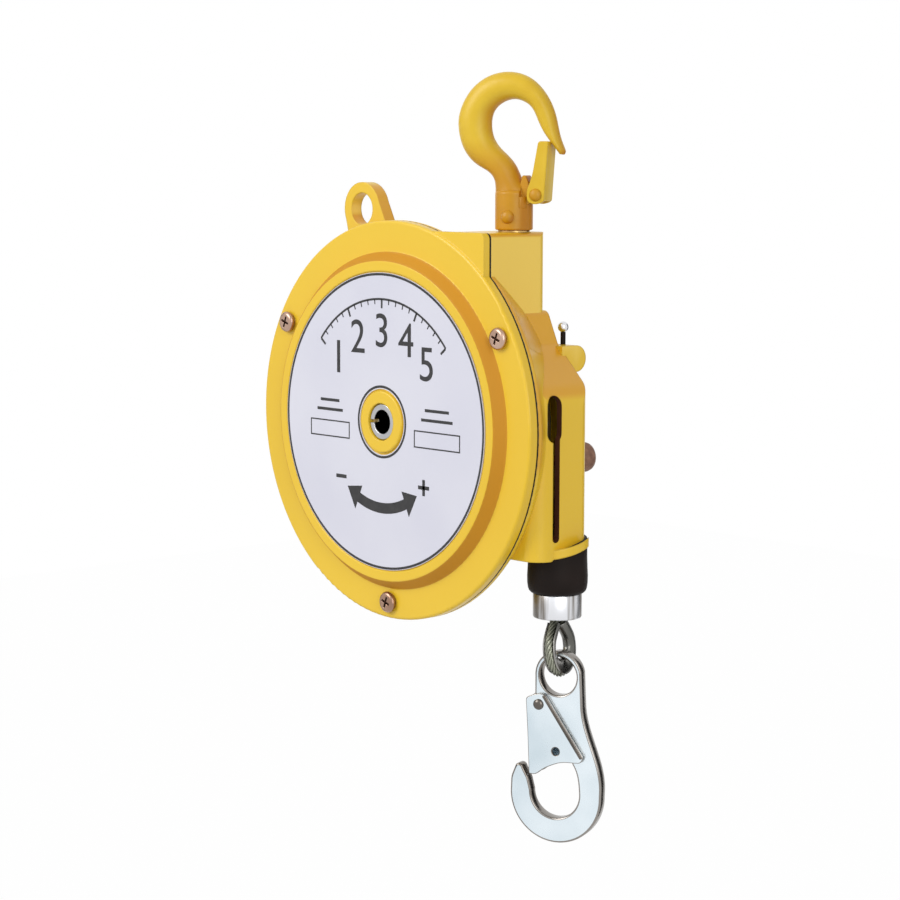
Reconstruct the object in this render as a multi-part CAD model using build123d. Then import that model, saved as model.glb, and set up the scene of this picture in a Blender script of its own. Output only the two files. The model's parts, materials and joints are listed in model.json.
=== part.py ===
from build123d import *
from math import acos, atan, atan2, cos, degrees, hypot, radians, sin
import os

os.makedirs("parts", exist_ok=True)

# Frame of the drawing: origin at the centre of the front flange, X towards the rope, Y into the depth, Z up.
# Every file is written with its origin moved to the seat of the top hook.

# Driving dimensions in millimetres
rim_radius = 75.0
seam_depth = 4.0
case_depth = 32.4
block_depth = case_depth + 0.8
case_wall = 2.5
back_wall = 3.0
cone_slope = 0.62
cone_start = 5.8
hook_x = 43.0
hook_y = 22.5
rope_x = 64.7
rope_y = 24.6
rope_dia = 3.0
stem_radius = 3.0
arbor_radius = 6.8
drum_turns = 5
wheel_teeth = 35
tooth_module = 1.25

# Clearances between pieces
run_fit = 0.05
loose = 0.3
seam_gap = 0.25

# Front cover
flange_inner = rim_radius - 11.8
plateau_outer = flange_inner - 3.0
plateau_inner = plateau_outer - 4.0
plateau_depth = -4.0
label_thick = 0.5
label_outer = plateau_inner - 0.4
label_inner = 12.4
boss_radius = 11.6
boss_depth = -4.6
seam_step = 0.9
pad_right = 50.0
pad_top = 71.5
pad_left = 22.0
pad_depth = 0.8

# Casing blocks
hook_block_left = 28.0
hook_block_top = 71.3
facet_top = 42.6
facet_out = (55.4, 30.6)
rope_block_right = 72.0
rope_block_front = 7.2
rope_block_bottom = -46.2
roof_bottom = 14.0
slot_y = 16.3

# Screws
screw_circle = 68.6
screw_radius = 2.0
boss_wall = 2.5

# Gearing at the back
gear_mid = 38.8
worm_z = 25.1
worm_root = 2.3
worm_outer = worm_z - wheel_teeth * tooth_module / 2 + tooth_module
gear_case_radius = 29.0
gear_case_depth = 45.0

UP = (Align.CENTER, Align.CENTER, Align.MIN)


def cone_radius(depth):
    return rim_radius - cone_slope * (depth - cone_start)


def closed(points, radii=None):
    if radii is None:
        return make_face(Polyline(*points, close=True))
    return make_face(FilletPolyline(*points, radius=radii, close=True))


def turned(points, radii=None):
    return revolve(closed(points, radii), Axis.Y)


def turned_up(points, x, y, radii=None):
    return Pos(x, y, 0) * revolve(Plane.XZ * closed(points, radii), Axis.Z)


def slab(face, front, back):
    return Pos(0, front, 0) * extrude(Plane.XZ * face, -(back - front))


def rod_x(y, z, start, end, radius):
    return Pos(start, y, z) * Rot(0, 90, 0) * Cylinder(radius, end - start, align=UP)


def rod_y(x, z, start, end, radius):
    return Pos(x, start, z) * Rot(-90, 0, 0) * Cylinder(radius, end - start, align=UP)


def rod_z(x, y, start, end, radius):
    return Pos(x, y, start) * Cylinder(radius, end - start, align=UP)


def around(radius, degs):
    return radius * cos(radians(degs)), radius * sin(radians(degs))


def save(name, *shapes):
    solids = [Pos(-hook_x, -hook_y, -seat_z) * solid for shape in shapes for solid in shape.solids()]
    export_step(Compound(solids) if len(solids) > 1 else solids[0], f"parts/{name}.step")


# Planes of the two hooks, in local coordinates u across and z up
seat_z = 119.3
hook_turn = 25.0
snap_turn = 22.3


def upright_plane(x, y, degs):
    c = cos(radians(degs))
    s = sin(radians(degs))
    return Plane(origin=(x, y, 0), x_dir=(c, s, 0), z_dir=(s, -c, 0))


hook_plane = upright_plane(hook_x, hook_y, hook_turn)
snap_shift = -0.5
snap_plane = upright_plane(
    rope_x + snap_shift * cos(radians(snap_turn)), rope_y + snap_shift * sin(radians(snap_turn)), snap_turn)


def flat(plane, face, thick, offset=0.0):
    return extrude(plane.offset(offset) * face, thick / 2, both=True)


def pin(plane, u, z, radius, low, high):
    return extrude(plane.offset(low) * Pos(u, z) * Circle(radius), high - low)


# Rear housing: outer body of revolution with the two blocks
side_wall = case_wall / cos(atan(cone_slope))
inside_back = case_depth - back_wall
outer_body = turned(
    [(0, seam_depth), (rim_radius - seam_step, seam_depth), (rim_radius - seam_step, seam_depth + seam_gap),
     (rim_radius, seam_depth + seam_gap), (rim_radius, cone_start), (cone_radius(case_depth), case_depth),
     (0, case_depth)],
    [0, 0, 0, 0.3, 1.0, 3.0, 0])
hook_block = slab(
    closed([(hook_block_left, 25), (pad_right, 25), (pad_right, hook_block_top),
            (hook_block_left, hook_block_top)], [0, 0, 2.0, 0]),
    seam_depth + seam_gap, block_depth)
hook_block &= extrude(
    closed([(hook_block_left - 1, 0), (pad_right, 0), (pad_right, block_depth),
            (hook_block_left - 1, block_depth)], [0, 0, 4.5, 0]), 90)
rope_block = slab(
    closed([(36, rope_block_bottom), (rope_block_right, rope_block_bottom), (rope_block_right, roof_bottom),
            facet_out, (pad_right, facet_top), (36, facet_top)],
           [0, 0, 12.0, 3.0, 3.0, 0]), rope_block_front, block_depth)
rope_block &= Pos(0, 0, -60) * extrude(
    closed([(36, rope_block_front), (rope_block_right, rope_block_front), (rope_block_right, block_depth),
            (36, block_depth)], [0, 7.0, 4.0, 0]), 120)

# Safety ear beside the hook block
ear_x = -29.8
ear_z = 78.55
ear_hole = 6.15
ear_radius = 10.2
ear_front = 12.0
ear_thick = 5.0
ear_lean = degrees(atan2(ear_z, ear_x)) - 90
ear_far = hypot(ear_x, ear_z)
ear = slab(
    Rot(0, 0, ear_lean) * (
        Pos(0, ear_far) * Circle(ear_radius)
        + closed([(-12.5, 62), (12.5, 62), (11.2, ear_far - 10), (9.9, ear_far + 2.4),
                  (-9.9, ear_far + 2.4), (-11.2, ear_far - 10)])),
    ear_front, ear_front + ear_thick)
ear -= rod_y(ear_x, ear_z, 0, 30, ear_hole)

# Skirt round the rope outlet
stopper_radius = 11.0
skirt_inner = 10.7
skirt_outer = 11.8
floor_bottom = rope_block_bottom + 2.4
floor_top = -38.0
skirt = rod_z(rope_x, rope_y, rope_block_bottom, rope_block_bottom + 3.4, skirt_outer)
skirt &= Pos(skirt_outer, 0, 0) * Box(2 * skirt_outer + 2 * rope_x, 60, 200)

# Gear case and worm tunnel on the back
tunnel_wide = worm_outer + 1.6
tunnel_thin = 4.9
worm_left = -36.0
tunnel_right = 59.5
gear_case = rod_y(0, 0, case_depth - 1, gear_case_depth, gear_case_radius)
gear_case += rod_x(gear_mid, worm_z, worm_left, 32, tunnel_wide)
gear_case += Pos((worm_left + 32) / 2, (case_depth - 1 + gear_mid) / 2, worm_z) * Box(
    32 - worm_left, gear_mid - case_depth + 1, 2 * tunnel_wide)
gear_case += rod_x(gear_mid, worm_z, 30, tunnel_right, tunnel_thin)
gear_case += Pos((30 + tunnel_right) / 2, (case_depth - 1 + gear_mid) / 2, worm_z) * Box(
    tunnel_right - 30, gear_mid - case_depth + 1, 2 * tunnel_thin)

# Boss of the drum lock on the back
lock_x = 56.5
lock_z = -12.0
lock_radius = 2.4
lock_boss = rod_y(lock_x, lock_z, case_depth - 1, block_depth + 3.8, 4.6)

# Hollows of the rear housing
cavity = turned([
    (0, seam_depth - 1), (rim_radius - side_wall, seam_depth - 1), (rim_radius - side_wall, cone_start),
    (cone_radius(inside_back) - side_wall, inside_back), (0, inside_back)])
rope_cavity = slab(
    closed([(40, floor_top), (rope_block_right - case_wall, floor_top),
            (rope_block_right - case_wall, roof_bottom - 1.2), (facet_out[0] - 1.6, facet_out[1] - 2.0),
            (40, facet_out[1] - 2.0)], [0, 0, 9.0, 0, 0]),
    rope_block_front + case_wall, inside_back)
pocket_radius = 5.4
pocket_roof = 58.0
stem_pocket = rod_z(hook_x, hook_y, 42, pocket_roof, pocket_radius)
wheel_pocket = rod_y(0, 0, case_depth, gear_case_depth + 1, wheel_teeth * tooth_module / 2 + tooth_module + 0.6)
keyhole = Pos(rope_block_right, slot_y - 0.9, 5.3) * Rot(0, 90, 0) * extrude(
    SlotOverall(17.0, 6.8), 6, both=True)
slit = Pos(rope_block_right, slot_y, -18.5) * Rot(0, 90, 0) * extrude(SlotOverall(42.0, 3.3), 6, both=True)

screw_places = [around(screw_circle, a) for a in (30, 150, 270)]
cavity -= [rod_y(x, z, seam_depth - 2, inside_back, screw_radius + boss_wall) for x, z in screw_places]
rear_housing = outer_body + hook_block + rope_block + ear + gear_case + lock_boss
rear_housing -= cavity
rear_housing -= rope_cavity
rear_housing += skirt
rear_housing -= rod_z(rope_x, rope_y, rope_block_bottom - 1, floor_bottom, skirt_inner)
rear_housing -= stem_pocket
rear_housing -= wheel_pocket
rear_housing -= keyhole
rear_housing -= slit
rear_housing -= [
    rod_y(x, z, seam_depth - 1, seam_depth + 12, screw_radius + run_fit) for x, z in screw_places]

# Bearings of the housing
bush_wall = 2.2
bush_seat = arbor_radius + run_fit + bush_wall
arbor_bush_rear = rod_y(0, 0, inside_back, case_depth + 0.6, bush_seat)
arbor_bush_rear -= rod_y(0, 0, 0, 60, arbor_radius + run_fit)
rear_housing -= rod_y(0, 0, 20, 50, bush_seat)
guide_radius = 4.1
rear_housing -= rod_z(rope_x, rope_y, -60, -30, guide_radius)
rope_guide = turned_up(
    [(rope_dia / 2 + 0.7, floor_bottom + 0.2), (guide_radius, floor_bottom + 0.2), (guide_radius, floor_top),
     (guide_radius + 0.4, floor_top), (guide_radius + 0.4, floor_top + 2.4), (guide_radius, floor_top + 3.4),
     (3.4, floor_top + 3.4), (rope_dia / 2 + 0.7, floor_top - 1.4)], rope_x, rope_y,
    [0.6, 0, 0, 0, 0.5, 0.2, 0.2, 1.5])
stem_bush_outer = stem_radius + run_fit + 1.6
rear_housing -= rod_z(hook_x, hook_y, 50, 80, stem_bush_outer)
stem_bush = rod_z(hook_x, hook_y, pocket_roof, hook_block_top, stem_bush_outer)
stem_bush += rod_z(hook_x, hook_y, hook_block_top, hook_block_top + 0.7, stem_bush_outer + 1.2)
stem_bush -= rod_z(hook_x, hook_y, 50, 80, stem_radius + run_fit)

# Worm tunnel bores
worm_bore = worm_outer + 0.4
thin_bore = 3.1
shaft_radius = 2.8
pin_x = 52.5
pin_radius = 0.95
rear_housing -= rod_x(gear_mid, worm_z, worm_left - 1, 31, worm_bore)
rear_housing -= rod_x(gear_mid, worm_z, 30, tunnel_right - 2, thin_bore)
rear_housing -= rod_z(pin_x, gear_mid, worm_z, worm_z + 10, pin_radius + run_fit)
rear_housing -= rod_y(lock_x, lock_z, inside_back - 1, block_depth + 5, lock_radius + run_fit)
gear_screw_circle = gear_case_radius - 2.7
gear_screw_places = [around(gear_screw_circle, a) for a in (30, 150, 210, 270, 330)]
rear_housing -= [rod_y(x, z, gear_case_depth - 8, gear_case_depth + 1, 1.5) for x, z in gear_screw_places]
save("rear_housing", rear_housing)
save("arbor_bush_rear", arbor_bush_rear)
save("rope_guide", rope_guide)
save("stem_bush", stem_bush)

# Front cover with its dished face, recess for the label and hub
recess_floor = plateau_depth + label_thick + 0.05
cover_inner = recess_floor + 2.1
hub_end = 6.6
front_cover = turned(
    [(arbor_radius + 0.2, boss_depth), (boss_radius, boss_depth), (boss_radius, recess_floor),
     (plateau_inner, recess_floor), (plateau_inner, plateau_depth), (plateau_outer, plateau_depth),
     (flange_inner, 0), (rim_radius, 0), (rim_radius, seam_depth - seam_gap),
     (rim_radius - seam_step, seam_depth - seam_gap), (rim_radius - seam_step, seam_depth),
     (rim_radius - side_wall - 0.2, seam_depth), (rim_radius - side_wall - 0.2, case_wall),
     (flange_inner - 1.0, case_wall), (plateau_outer - 1.0, cover_inner), (14, cover_inner),
     (12.6, hub_end), (bush_seat, hub_end), (bush_seat, -1.9), (arbor_radius + 0.2, -1.9)],
    [0, 0.5, 0, 0, 0.3, 0.8, 1.0, 1.0, 0.2, 0, 0, 0, 0, 0.8, 0.8, 1.0, 0.5, 0, 0, 0])
pad = slab(
    closed([(pad_left, 66), (40, 45), (pad_right, 50), (pad_right, pad_top), (pad_left, pad_top)],
           [0, 0, 0, 2.5, 0]), pad_depth, seam_depth - seam_gap)
pad -= rod_y(0, 0, -5, 10, rim_radius - 1.5)
pad_land = slab(
    closed([(hook_block_left + 1, 66), (pad_right - 1, 58), (pad_right - 1, pad_top - 1.2),
            (hook_block_left + 1, pad_top - 1.2)]), seam_depth - seam_gap, seam_depth)
pad_land -= rod_y(0, 0, -5, 10, rim_radius - 1.5)
front_cover += pad
front_cover += pad_land
head_front = -2.4
washer_thick = 0.9
front_cover -= [rod_y(x, z, -3, 6, screw_radius + 0.3) for x, z in screw_places]
save("front_cover", front_cover)
save("arbor_bush_front", rod_y(0, 0, -1.9, hub_end - 0.2, bush_seat)
     - rod_y(0, 0, -5, 30, arbor_radius + run_fit))

# Label disc
label_plate = rod_y(0, 0, plateau_depth, recess_floor, label_outer) - rod_y(0, 0, -6, 0, label_inner)
save("label_plate", label_plate)

# Pan head screws with spring washers on the flange
head_radius = 4.0
screw_parts = []
washer_parts = []
for x, z in screw_places:
    head = Pos(x, 0, z) * turned(
        [(0, head_front), (head_radius, head_front), (head_radius, -washer_thick), (screw_radius, -washer_thick),
         (screw_radius, 12), (0, 12)], [0, 1.3, 0, 0, 0.4, 0])
    cross = Box(0.9, 1.6, 4.4) + Box(4.4, 1.6, 0.9)
    screw_parts.append(head - Pos(x, head_front, z) * Rot(0, 20, 0) * cross)
    ring = rod_y(x, z, -washer_thick, 0, 3.5) - rod_y(x, z, -2, 1, screw_radius + 0.1)
    washer_parts.append(ring - Pos(x, -0.4, z) * Rot(0, 60, 0) * Pos(3, 0, 0) * Rot(0, 0, 25) * Box(4, 4, 0.4))
save("cover_screws", *screw_parts)
save("screw_spring_washers", *washer_parts)

# Arbor with its slotted front end, spring hub and wheel seat
hub_radius = 12.5
wheel_seat = 6.0
spring_front = 11.5
spring_back = 24.3
web_inner = 25.2
key_width = 3.0
spring_arbor = turned(
    [(4.5, plateau_depth), (arbor_radius, plateau_depth), (arbor_radius, spring_front - 0.2),
     (hub_radius, spring_front - 0.2), (hub_radius, web_inner - 0.3), (arbor_radius, web_inner - 0.3),
     (arbor_radius, case_depth + 0.9), (wheel_seat, case_depth + 0.9), (wheel_seat, gear_case_depth - 1.6),
     (0, gear_case_depth - 1.6), (0, 4), (4.5, 4)],
    [0.3, 0.5, 0.4, 0.6, 0.6, 0.4, 0.4, 0, 0.5, 0, 0, 0])
spring_arbor -= Pos(-6, plateau_depth, 0) * Box(5, 5, 1.2)
spring_arbor -= Pos(hub_radius - 1, (spring_front + spring_back) / 2, 0) * Box(4, spring_back - spring_front, 1.3)
spring_arbor -= Pos(0, gear_mid, wheel_seat) * Box(key_width, 7, 2.4)
clip_y = 43.4 - 0.35
clip_groove = rod_y(0, 0, clip_y, clip_y + 1.1, wheel_seat + 1) - rod_y(0, 0, clip_y, clip_y + 1.1, wheel_seat - 0.6)
spring_arbor -= clip_groove
save("spring_arbor", spring_arbor)

# Rope drum with its grooved cone
groove_front = 10.6
groove_pitch = rope_dia + 0.3
rear_turn_radius = 57.3
turn_step = 1.0
groove_places = [
    (rear_turn_radius + (drum_turns - 1 - k) * turn_step, groove_front + k * groove_pitch)
    for k in range(drum_turns)]
rope_half = rope_dia / 2
drum_edge = []
for turn_radius, turn_y in groove_places:
    drum_edge += [(turn_radius - 0.5, turn_y - groove_pitch / 2), (turn_radius - rope_half - 0.1, turn_y - 0.9),
                  (turn_radius - rope_half - 0.1, turn_y + 0.9)]
last_y = groove_places[-1][1] + groove_pitch / 2
chamber_radius = 50.2
lid_radius = 55.5
drum_front = 7.5
lid_seat = 9.0
flange_front = groove_places[0][0] + 2.3
flange_rear = groove_places[-1][0] + 0.9
drum_back = last_y + 1.7
hub_outer = 14.0
hub_step = 1.4
rope_drum = turned(
    [(chamber_radius, web_inner), (chamber_radius, lid_seat), (lid_radius + 0.1, lid_seat),
     (lid_radius + 0.1, drum_front), (flange_front, drum_front), (flange_front, groove_front - groove_pitch / 2)]
    + drum_edge
    + [(groove_places[-1][0] - 0.5, last_y), (flange_rear, last_y), (flange_rear, drum_back),
       (hub_outer, drum_back), (hub_outer, drum_back + hub_step), (bush_seat, drum_back + hub_step),
       (bush_seat, web_inner)])
lid_screws = [around(53.0, a) for a in range(15, 375, 60)]
rope_drum -= [rod_y(x, z, 5, 15, 1.25) for x, z in lid_screws]
rope_drum -= [rod_y(x, z, 20, 30, 7) for x, z in [around(33, a) for a in range(0, 360, 60)]]
drum_lid = rod_y(0, 0, drum_front + 0.1, lid_seat, lid_radius)
drum_lid += rod_y(0, 0, drum_front - 0.5, spring_front - 0.5, hub_outer)
drum_lid -= rod_y(0, 0, 0, 30, bush_seat)
drum_lid -= [rod_y(x, z, 5, 15, 1.3) for x, z in lid_screws]
lid_bolts = [rod_y(x, z, drum_front - 1.4, drum_front + 0.1, 2.4) + rod_y(x, z, drum_front, 14, 1.25)
             for x, z in lid_screws]
save("rope_drum", rope_drum)
save("drum_lid", drum_lid)
save("drum_lid_screws", *lid_bolts)
save("drum_bush_front", rod_y(0, 0, drum_front - 0.5, spring_front - 0.5, bush_seat)
     - rod_y(0, 0, 0, 30, arbor_radius + run_fit))
save("drum_bush_rear", rod_y(0, 0, web_inner, drum_back + hub_step, bush_seat)
     - rod_y(0, 0, 0, 60, arbor_radius + run_fit))

# Main spring, a flat strip wound as a spiral of half circles
strip = 0.8
spring_turns = 8
spring_start = hub_radius + 1.0
spring_pitch = (chamber_radius - 2.0 - spring_start) / (spring_turns + 0.5)


def spiral(shift):
    pieces = []
    for k in range(2 * spring_turns + 1):
        r = spring_start + k * spring_pitch / 2 + shift
        middle = 0 if k % 2 == 0 else spring_pitch / 2
        pieces.append(CenterArc((middle, 0), r, 0 if k % 2 == 0 else 180, 180))
    return pieces


inner_line = spiral(-strip / 2)
outer_line = spiral(strip / 2)
strip_face = make_face(
    Wire(inner_line + [Line(inner_line[-1] @ 1, outer_line[-1] @ 1)] + outer_line
         + [Line(outer_line[0] @ 0, inner_line[0] @ 0)]))
main_spring = slab(strip_face, spring_front, spring_back)
main_spring += Pos(hub_radius + 0.1, (spring_front + spring_back) / 2, 0) * Box(
    2.4, spring_back - spring_front - 0.4, strip)
save("main_spring", main_spring)

# Free rope from the drum to the stopper
mouth_z = floor_top + 3.4
last_turn, last_turn_y = groove_places[-1]
mouth_far = hypot(rope_x, mouth_z)
leave_angle = degrees(atan2(mouth_z, rope_x) + acos(last_turn / mouth_far))
leave_x, leave_z = around(last_turn, leave_angle)
turn_end = 25.0
winding = [
    Rot(0, turn_end - leave_angle, 0) * revolve(
        Pos(turn_radius, turn_y) * Circle(rope_half), Axis.Y, 360 - turn_end)
    for turn_radius, turn_y in groove_places]
save("rope_winding", *winding)
stopper_top = floor_bottom - 0.1
run_path = FilletPolyline(
    (leave_x + 0.1, last_turn_y, leave_z - 0.6), (rope_x, rope_y, mouth_z - 1), (rope_x, rope_y, stopper_top), radius=12)
rope_run = sweep(Plane(origin=run_path @ 0, z_dir=run_path % 0) * Circle(rope_half), path=run_path)
save("rope_run", rope_run)

# Rubber stopper and ferrule
stopper_bottom = -61.0
ferrule_bottom = -68.5
ferrule_radius = 8.7
rope_stopper = turned_up(
    [(rope_half + 0.1, stopper_top), (10.1, stopper_top), (stopper_radius, -53.5), (stopper_radius, -58.4),
     (9.6, stopper_bottom), (rope_half + 0.1, stopper_bottom)], rope_x, rope_y, [0, 0.8, 6, 1.2, 1.0, 0])
ferrule = turned_up(
    [(0, stopper_bottom), (ferrule_radius, stopper_bottom), (ferrule_radius, ferrule_bottom), (0, ferrule_bottom)],
    rope_x, rope_y, [0, 0.3, 0.7, 0])
save("rope_stopper", rope_stopper)

# Rope loop round its thimble
loop_turn = -74.0
loop_plane = upright_plane(rope_x, rope_y, loop_turn)
loop_lean = Pos(rope_x, rope_y, ferrule_bottom) * Rot(0, 0, snap_turn) * Rot(0, -5.0, 0) * Rot(
    0, 0, -snap_turn) * Pos(-rope_x, -rope_y, -ferrule_bottom)
thimble_inner = 4.7
thimble_wall = 1.6
eye_z = -90.1
eye_u = 2.0
eye_hole = 7.15
thimble_z = eye_z + eye_hole - 3 * loose + thimble_inner
loop_radius = thimble_inner + thimble_wall + rope_half
leg_u = rope_half + 0.15


def tangent_point(u, z, centre, radius):
    far = hypot(u, z - centre)
    angle = atan2(z - centre, u) - acos(radius / far)
    return radius * cos(angle), centre + radius * sin(angle)


touch_u, touch_z = tangent_point(leg_u, ferrule_bottom - 1, thimble_z, loop_radius)
loop_line = Wire([
    Line((-leg_u, ferrule_bottom + 6), (-leg_u, ferrule_bottom - 1)),
    Line((-leg_u, ferrule_bottom - 1), (-touch_u, touch_z)),
    ThreePointArc((-touch_u, touch_z), (0, thimble_z - loop_radius), (touch_u, touch_z)),
    Line((touch_u, touch_z), (leg_u, ferrule_bottom - 1)),
    Line((leg_u, ferrule_bottom - 1), (leg_u, ferrule_bottom + 6))])
loop_path = loop_plane * loop_line
rope_loop = sweep(
    Plane(origin=loop_path @ 0, z_dir=loop_path % 0) * Circle(rope_half), path=loop_path, transition=Transition.ROUND)
rope_loop = loop_lean * rope_loop
save("rope_loop", rope_loop)
save("ferrule", ferrule - rope_loop)

# Thimble, a channel bent to the loop
thimble_top = ferrule_bottom - 1.0


def teardrop(radius):
    top = thimble_z + (thimble_top - thimble_z) * radius / loop_radius
    u, z = tangent_point(0, top, thimble_z, radius)
    return make_face(Wire([Line((0, top), (-u, z)), ThreePointArc((-u, z), (0, thimble_z - radius), (u, z)),
                           Line((u, z), (0, top))]))


thimble = flat(loop_plane, teardrop(thimble_inner + thimble_wall - 0.1), rope_dia + 1.6)
for side in (-1, 1):
    thimble += flat(loop_plane, teardrop(loop_radius + 0.2), 0.7, side * (rope_half + 0.45))
thimble -= flat(loop_plane, teardrop(thimble_inner), 10)
thimble = loop_lean * thimble
save("thimble", thimble)

# Snap hook cut from plate, with its eye, spine and bowl
plate_thick = 4.8
rivet_u = -5.1
rivet_z = -100.9
rivet_radius = 1.3
bowl_z = -134.6
bowl_u = 1.2
bowl_radius = 18.0
snap_outline = Wire([
    ThreePointArc((11.0, -88.1), (2.0, eye_z + 9.35), (-7.2, -90.6)),
    Line((-7.2, -90.6), (-7.2, -97.6)),
    ThreePointArc((-7.2, -97.6), (-8.4, -101.2), (-6.2, -104.0)),
    Spline((-6.2, -104.0), (-1.5, -106.5), (4.0, -113.0), (7.8, -122.6)),
    Spline((7.8, -122.6), (9.6, -126.5), (10.3, -130.7), (10.5, -133.8)),
    ThreePointArc((10.5, -133.8), (1.0, -143.3), (-8.5, -133.8)),
    Line((-8.5, -133.8), (-9.7, -129.2)),
    Line((-9.7, -129.2), (-11.7, -125.6)),
    ThreePointArc((-11.7, -125.6), (-13.2, -124.2), (-14.8, -124.8)),
    Line((-14.8, -124.8), (-16.6, -129.3)),
    Line((-16.6, -129.3), (-16.8, -134.6)),
    ThreePointArc((-16.8, -134.6), (1.2, bowl_z - bowl_radius), (19.2, -134.6)),
    Line((19.2, -134.6), (19.3, -131.0)),
    Spline((19.3, -131.0), (17.5, -121.0), (12.8, -107.6), (11.6, -101.0)),
    Line((11.6, -101.0), (11.0, -88.1))])
snap_hook = flat(snap_plane, make_face(snap_outline), plate_thick)
snap_hook -= pin(snap_plane, eye_u, eye_z, eye_hole, -4, 4)
for side in (-1, 1):
    mouth = Plane(snap_plane.from_local_coords((eye_u, eye_z, side * (plate_thick / 2 - 0.7))), z_dir=snap_plane.z_dir * side)
    snap_hook -= mouth * Cone(eye_hole, eye_hole + 1.0, 1.0, align=UP)
snap_hook -= pin(snap_plane, rivet_u, rivet_z, rivet_radius, -4, 4)
save("snap_hook", snap_hook)

# Gate folded from sheet, closing against the tip
sheet = 1.1
cheek_gap = plate_thick / 2 + loose
gate_outline = closed(
    [(-10.2, -98.7), (-6.4, -97.0), (-2.8, -96.7), (8.2, -110.6), (10.9, -120.8), (3.7, -121.8),
     (-2.2, -124.3), (-6.2, -127.4), (-8.8, -127.2), (-9.4, -112.0)],
    [1.5, 2.0, 3.0, 5.0, 1.2, 2.0, 2.0, 1.5, 0.6, 6.0])
snap_gate = flat(snap_plane, gate_outline, 2 * (cheek_gap + sheet))
snap_gate -= flat(snap_plane, closed([(-9.1, -90), (16, -90), (16, -130), (-7.8, -130), (-8.3, -112)]), 2 * cheek_gap)
snap_gate -= pin(snap_plane, rivet_u, rivet_z, rivet_radius + run_fit, -8, 8)
snap_gate -= pin(snap_plane, 1.8, -117.9, 1.5, 0, 8)
save("snap_gate", snap_gate)
rivet_out = cheek_gap + sheet + run_fit
gate_rivet = pin(snap_plane, rivet_u, rivet_z, rivet_radius, -rivet_out, rivet_out)
gate_rivet += pin(snap_plane, rivet_u, rivet_z, 2.05, rivet_out, rivet_out + 0.9)
gate_rivet += pin(snap_plane, rivet_u, rivet_z, 2.05, -rivet_out - 0.9, -rivet_out)
save("snap_gate_rivet", gate_rivet)
spring_wire = 0.35
gate_path = snap_plane * Polyline((-6.4, -105.2), (-5.0, -107.6), (-7.0, -113.0))
save("gate_spring", sweep(Plane(origin=gate_path @ 0, z_dir=gate_path % 0) * Circle(spring_wire), path=gate_path,
                          transition=Transition.ROUND))

# Forged top hook lofted through its sections from outer and inner points and the thickness
hook_sections = [
    ((-6.8, 85.0), (6.0, 85.0), 12.0), ((-7.1, 89.4), (4.2, 88.6), 11.0), ((-9.1, 92.7), (2.4, 91.6), 10.6),
    ((-12.9, 94.9), (0.4, 95.6), 10.6), ((-16.6, 97.6), (-2.4, 98.9), 10.8), ((-19.6, 101.8), (-5.4, 101.6), 11.0),
    ((-21.4, 108.0), (-8.4, 106.2), 11.0), ((-20.8, 115.6), (-8.6, 113.6), 10.6),
    ((-16.7, 122.8), (-6.1, 117.1), 10.0), ((-8.9, 128.1), (-2.6, 118.9), 9.6), ((-0.4, 129.1), (0.9, 119.3), 9.2),
    ((7.8, 125.8), (4.9, 117.9), 8.6), ((13.2, 119.5), (7.6, 115.3), 8.0), ((16.0, 112.8), (9.6, 111.1), 7.4),
    ((17.6, 106.0), (12.2, 106.6), 6.8), ((19.4, 101.4), (15.4, 102.6), 5.6), ((19.2, 99.4), (17.6, 99.6), 2.4)]
section_faces = []
for (u_out, z_out), (u_in, z_in), thick in hook_sections:
    width = hypot(u_in - u_out, z_in - z_out)
    start = hook_plane.from_local_coords((u_out, z_out, 0))
    end = hook_plane.from_local_coords((u_in, z_in, 0))
    middle = (Vector(start) + Vector(end)) * 0.5
    side = (Vector(end) - Vector(start)).normalized()
    along = side.cross(hook_plane.z_dir)
    section_faces.append(Plane(origin=middle, x_dir=side, z_dir=along) * Ellipse(width / 2, thick / 2))
collar_radius = 6.9
collar_bottom = hook_block_top + 0.8
collar_top = 86.4
latch_u = 9.9
latch_z = 84.9
latch_half = 4.5
latch_gap = latch_half - sheet
lug_half = latch_gap - loose
suspension_hook = loft(section_faces)
suspension_hook += turned_up(
    [(0, collar_bottom), (collar_radius, collar_bottom), (collar_radius, collar_top), (0, collar_top)],
    hook_x, hook_y, [0, 0.6, 1.2, 0])
lug = make_face(Wire([
    Line((0, 80.5), (latch_u - 1.0, 81.9)), ThreePointArc((latch_u - 1.0, 81.9), (latch_u + 2.3, latch_z),
                                                          (latch_u - 1.0, 87.8)),
    Line((latch_u - 1.0, 87.8), (0, 88.2)), Line((0, 88.2), (0, 80.5))]))
suspension_hook -= [flat(hook_plane, Pos(7.5, 84.2) * Rectangle(7.0, 8.0), 6, lug_half + 3),
                    flat(hook_plane, Pos(7.5, 84.2) * Rectangle(7.0, 8.0), 6, -lug_half - 3)]
suspension_hook += flat(hook_plane, lug, 2 * lug_half)
stem_top = 83.5
cross_z = 76.9
cross_radius = 1.5
suspension_hook -= rod_z(hook_x, hook_y, 60, stem_top + 0.3, stem_radius)
suspension_hook -= pin(hook_plane, 0, cross_z, cross_radius, -12, 12)
suspension_hook -= pin(hook_plane, latch_u, latch_z, 1.5, -6, 6)
save("suspension_hook", suspension_hook)

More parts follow.
